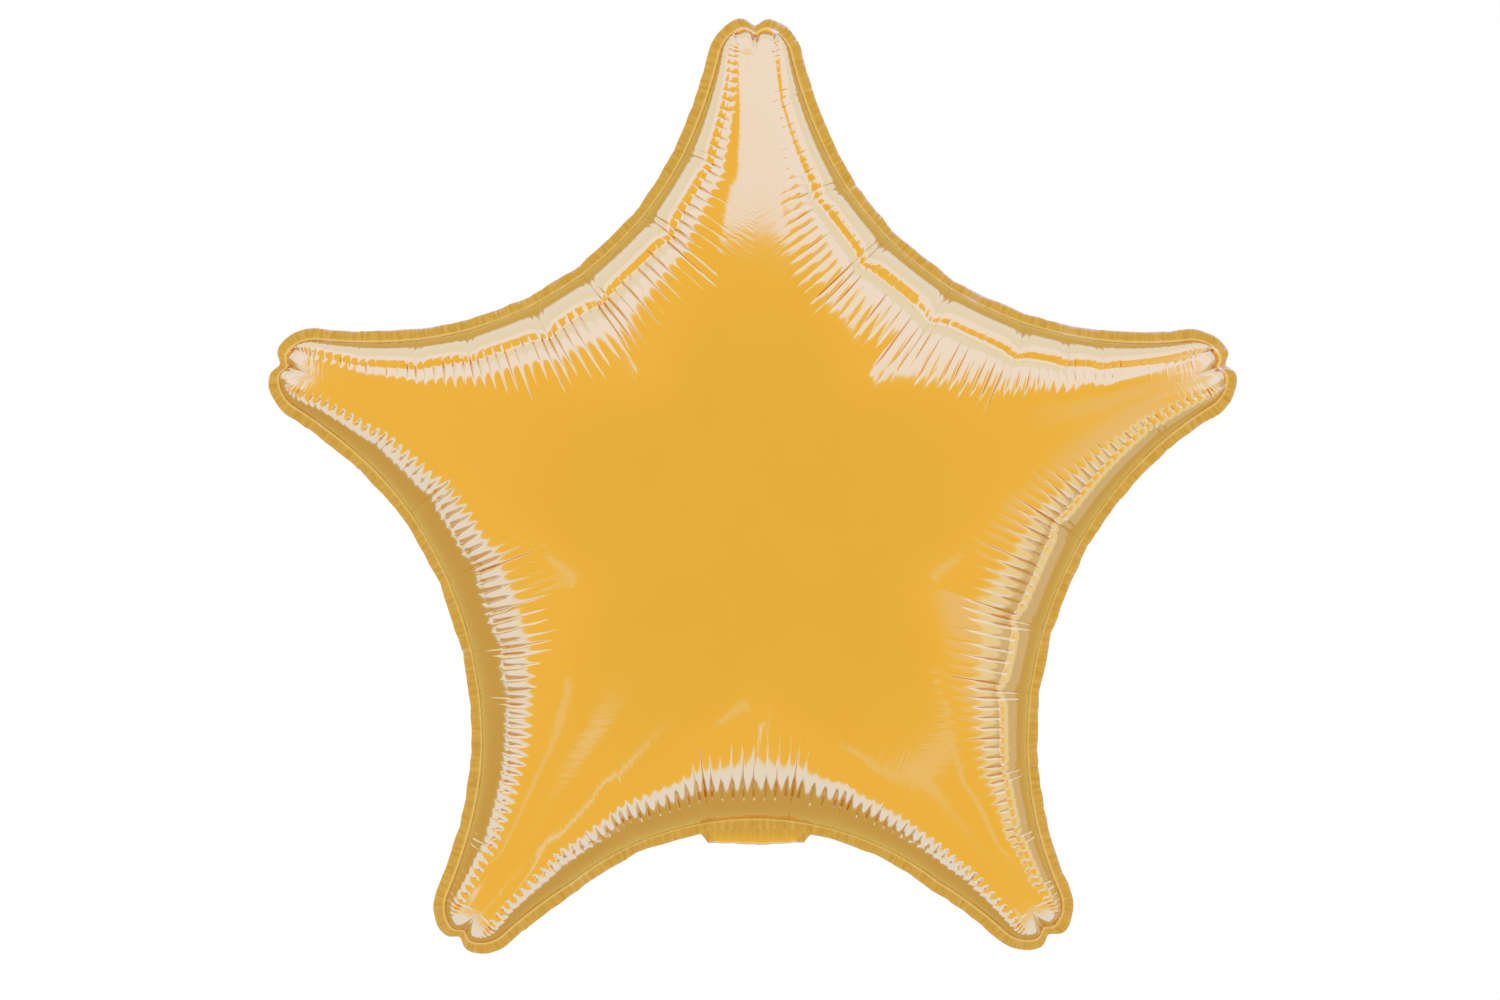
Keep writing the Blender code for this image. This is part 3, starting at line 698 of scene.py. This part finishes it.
def addNode(tree, kind, links=None, **settings):
    node = tree.nodes.new(kind)
    for name, value in settings.items():
        setattr(node, name, value)
    for socket, source in (links or {}).items():
        if isinstance(source, bpy.types.NodeSocket):
            tree.links.new(source, node.inputs[socket])
        else:
            node.inputs[socket].default_value = source
    return node


filmFinish = {
    "gold": ("#E4AC4A", "#E6B050"),
    "weldGold": ("#BC8A3A", "#DFB46C"),
    # painted highlight: a pale cream line at the film's foot beside the weld
    "footHighlight": "#E7C996",
    "footFrom": (1.1, 1.8),  # weld marks between which the foot's painted highlight comes in
    "roughness": (0.10, 0.15),
    "weldRoughness": 0.26,
    "coat": 0.25,
    "coatRoughness": 0.08,
    "cloudScale": 40.0,
    "crinkleScale": (650.0, 120.0, 1.0),
    "crinkleShare": (0.2, 1.0),  # on the open film, and on the weld
    "crinkleHeight": 0.0003,
}


def goldFilm():
    # Gold metallised nylon film: a mirror under a clear face, duller and browner where it is welded, with a
    # painted pale highlight on the film's foot beside the weld.
    material = bpy.data.materials.new("gold_metallised_film")
    material.use_nodes = True
    tree = material.node_tree
    shader = tree.nodes["Principled BSDF"]
    shader.inputs["Metallic"].default_value = 1.0
    shader.inputs["Coat Weight"].default_value = filmFinish["coat"]
    shader.inputs["Coat Roughness"].default_value = filmFinish["coatRoughness"]
    weld = addNode(tree, "ShaderNodeAttribute", attribute_name="weld").outputs["Fac"]
    place = addNode(tree, "ShaderNodeTexCoord").outputs["Object"]
    along = addNode(tree, "ShaderNodeUVMap", uv_map="film").outputs["UV"]
    # clouding of the film, 25 mm across
    cloud = addNode(tree, "ShaderNodeTexNoise", links={
        "Vector": place, "Scale": filmFinish["cloudScale"], "Detail": 3.0})
    # fine wrinkles across the weld, about 1.5 mm apart and 8 mm long
    stretched = addNode(tree, "ShaderNodeMapping", links={
        "Vector": along, "Scale": filmFinish["crinkleScale"]})
    crinkle = addNode(tree, "ShaderNodeTexNoise", noise_dimensions="2D",
                      links={"Vector": stretched.outputs[0], "Scale": 1.0, "Detail": 2.0})

    def mixed(amount, under, over):
        under, over = (linear(end) if isinstance(end, str) else end for end in (under, over))
        return addNode(tree, "ShaderNodeMix", data_type="RGBA", links={
            "Factor": amount, 6: under, 7: over}).outputs[2]

    gold = mixed(cloud.outputs["Fac"], *filmFinish["gold"])
    welded = mixed(weld, gold, mixed(crinkle.outputs["Fac"], *filmFinish["weldGold"]))
    # the foot of the film beside the weld, painted paler as a highlight
    footFrom, footTo = filmFinish["footFrom"]
    foot = addNode(tree, "ShaderNodeMapRange", links={
        "Value": weld, "From Min": footFrom, "From Max": footTo})
    base = mixed(foot.outputs[0], welded, filmFinish["footHighlight"])
    tree.links.new(base, shader.inputs["Base Color"])
    low, high = filmFinish["roughness"]
    rough = addNode(tree, "ShaderNodeMapRange", links={
        "Value": cloud.outputs["Fac"], "From Min": 0.3, "From Max": 0.7, "To Min": low, "To Max": high})
    roughWeld = addNode(tree, "ShaderNodeMix", links={
        0: weld, 2: rough.outputs[0], 3: filmFinish["weldRoughness"]})
    tree.links.new(roughWeld.outputs[0], shader.inputs["Roughness"])
    low, high = filmFinish["crinkleShare"]
    share = addNode(tree, "ShaderNodeMapRange", links={"Value": weld, "To Min": low, "To Max": high})
    height = addNode(tree, "ShaderNodeMath", operation="MULTIPLY", links={
        0: crinkle.outputs["Fac"], 1: share.outputs[0]})
    bump = addNode(tree, "ShaderNodeBump", links={
        "Strength": 1.0, "Distance": filmFinish["crinkleHeight"], "Height": height.outputs[0]})
    tree.links.new(bump.outputs[0], shader.inputs["Normal"])
    return material


gold = goldFilm()
for piece in (balloon, fillingNeck):
    piece.data.materials.append(gold)
    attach(piece, "root")
    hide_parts("foil_envelope")

# The floor, below the photograph's frame.
floorSettings = {"height": -0.30, "radius": 0.9}
bpy.ops.mesh.primitive_circle_add(vertices=96, radius=floorSettings["radius"], fill_type="NGON",
                                  location=(0, 0, floorSettings["height"]))
floor = bpy.context.object
floor.name = "floor"
floor.visible_glossy = False
floorMaterial = bpy.data.materials.new("matt_white_floor")
floorMaterial.use_nodes = True
floorShader = floorMaterial.node_tree.nodes["Principled BSDF"]
floorShader.inputs["Base Color"].default_value = linear("#F4F4F2")
floorShader.inputs["Roughness"].default_value = 0.8
floor.data.materials.append(floorMaterial)

# Light by direction: heading is clockwise from straight up as the camera sees it, forward is the
# direction's y, so -1 is towards the camera and 1 is straight behind. Each box passes from its first
# colour at its near end to its second at its far end.
studio = {
    "front": ((1.0, 0.985, 0.55), (1.08, 1.05, 0.60)),
    "frontTo": (-1.0, -0.50),
    "behind": ((0.70, 0.74, 0.58), (0.68, 0.56, 0.17)),
    "behindFrom": (0.25, 0.92),
    "sideways": (0.05, 0.25),  # where front gives way to behind
    "edge": 1.5,  # degrees that a box's sides are soft over, where it says nothing else
    "boxes": (
        {"heading": 0, "halfWidth": 77, "forward": (0.34, 0.79), "soft": (0.02, 0.015),
         "colours": ((1.0, 1.47, 3.8), (0.96, 1.27, 2.0))},
        {"heading": 0, "halfWidth": 76, "forward": (-0.12, 0.34), "soft": (0.02, 0.02),
         "colours": ((1.10, 1.63, 6.2), (1.07, 1.58, 5.6))},
        {"heading": 3, "halfWidth": 11, "forward": (-0.61, -0.10), "soft": (0.015, 0.02),
         "colours": ((1.08, 1.58, 6.0), (1.10, 1.63, 6.2))},
        {"heading": 30, "halfWidth": 18, "forward": (-0.52, -0.10), "soft": (0.015, 0.02),
         "colours": ((1.08, 1.58, 6.0), (1.10, 1.63, 6.2))},
        {"heading": 106, "halfWidth": 30, "forward": (0.30, 0.70), "soft": (0.02, 0.03),
         "colours": ((0.79, 0.95, 1.7), (0.77, 0.84, 0.85))},
        {"heading": 106, "halfWidth": 30, "forward": (-0.12, 0.30), "soft": (0.06, 0.02),
         "colours": ((1.05, 1.40, 3.0), (0.99, 1.30, 2.7))},
        {"heading": 88, "halfWidth": 16, "forward": (-0.54, -0.14), "soft": (0.12, 0.05), "edge": 8,
         "colours": ((1.03, 1.12, 1.6), (1.03, 1.14, 1.85))},
        {"heading": 205, "halfWidth": 70, "forward": (-0.04, 0.38), "soft": (0.015, 0.015),
         "colours": ((1.0, 1.55, 5.5), (0.98, 1.50, 5.2))},
        {"heading": 235, "halfWidth": 7, "forward": (-0.635, -0.575), "soft": (0.02, 0.02), "edge": 3,
         "colours": ((1.05, 1.20, 1.9), (1.05, 1.20, 1.9))},
        {"heading": 144, "halfWidth": 25, "forward": (-0.655, -0.60), "soft": (0.02, 0.02), "edge": 3,
         "colours": ((1.05, 1.20, 1.9), (1.05, 1.20, 1.9))},
        {"heading": 229, "halfWidth": 1.4, "forward": (-0.61, -0.22), "soft": (0.02, 0.06), "edge": 1,
         "colours": ((1.05, 1.20, 1.9), (1.05, 1.22, 2.1))},
        {"heading": 139, "halfWidth": 1.6, "forward": (-0.62, -0.28), "soft": (0.02, 0.06), "edge": 1,
         "colours": ((1.05, 1.20, 1.9), (1.05, 1.22, 2.1))},
        {"heading": 208, "halfWidth": 1.4, "forward": (-0.74, -0.10), "soft": (0.08, 0.04), "edge": 1,
         "colours": ((1.05, 1.35, 3.0), (1.05, 1.55, 4.8))},
    ),
}


def makeWorld():
    world = bpy.data.worlds.new("studio")
    bpy.context.scene.world = world
    world.use_nodes = True
    tree = world.node_tree
    tree.nodes.clear()
    direction = addNode(tree, "ShaderNodeTexCoord").outputs["Generated"]
    part = addNode(tree, "ShaderNodeSeparateXYZ", links={0: direction})
    flat = addNode(tree, "ShaderNodeCombineXYZ", links={0: part.outputs[0], 2: part.outputs[2]})
    around = addNode(tree, "ShaderNodeVectorMath", operation="NORMALIZE", links={0: flat.outputs[0]})

    def ramp(value, low, high, first=0.0, last=1.0, kind="SMOOTHSTEP"):
        return addNode(tree, "ShaderNodeMapRange", interpolation_type=kind, links={
            "Value": value, "From Min": low, "From Max": high, "To Min": first, "To Max": last}).outputs[0]

    def times(first, second):
        return addNode(tree, "ShaderNodeMath", operation="MULTIPLY", links={0: first, 1: second}).outputs[0]

    def blend(amount, under, over):
        return addNode(tree, "ShaderNodeMix", data_type="RGBA", links={
            "Factor": amount, 6: under, 7: over}).outputs[2]

    forward = part.outputs[1]
    dim = blend(ramp(forward, *studio["behindFrom"], kind="LINEAR"),
                *((*colour, 1) for colour in studio["behind"]))
    bright = blend(ramp(forward, *studio["frontTo"]), *((*colour, 1) for colour in studio["front"]))
    colour = blend(ramp(forward, *studio["sideways"]), bright, dim)
    for box in studio["boxes"]:
        angle = math.radians(box["heading"])
        aim = addNode(tree, "ShaderNodeVectorMath", operation="DOT_PRODUCT", links={
            0: around.outputs[0], 1: (math.sin(angle), 0, math.cos(angle))}).outputs["Value"]
        edge = box.get("edge", studio["edge"])
        low = math.cos(math.radians(box["halfWidth"] + edge))
        high = math.cos(math.radians(box["halfWidth"] - edge))
        near, far = box["forward"]
        nearSoft, farSoft = box["soft"]
        amount = times(ramp(aim, low, high), ramp(forward, near - nearSoft, near + nearSoft))
        amount = times(amount, ramp(forward, far - farSoft, far + farSoft, 1.0, 0.0))
        own = blend(ramp(forward, near, far, kind="LINEAR"), *((*end, 1) for end in box["colours"]))
        colour = blend(amount, colour, own)
    ray = addNode(tree, "ShaderNodeLightPath")
    seen = blend(ray.outputs["Is Glossy Ray"], (1, 1, 1, 1), colour)
    background = addNode(tree, "ShaderNodeBackground", links={"Color": seen})
    addNode(tree, "ShaderNodeOutputWorld", links={"Surface": background.outputs[0]})


makeWorld()

# The camera looks straight along +Y: the photograph's width covers frameWidth at the seam.
view = {"lens": 100, "sensor": 36, "frameWidth": 0.6517, "aim": (-0.0026, 0.0, 0.1432)}
cameraData = bpy.data.cameras.new("camera")
cameraData.lens = view["lens"]
cameraData.sensor_width = view["sensor"]
camera = bpy.data.objects.new("camera", cameraData)
bpy.context.collection.objects.link(camera)
distance = view["frameWidth"] * view["lens"] / view["sensor"]
camera.location = Vector(view["aim"]) - Vector((0, distance, 0))
camera.rotation_euler = (math.radians(90), 0, 0)
bpy.context.scene.camera = camera
bpy.context.scene.view_settings.view_transform = "Standard"
print("camera and light set")
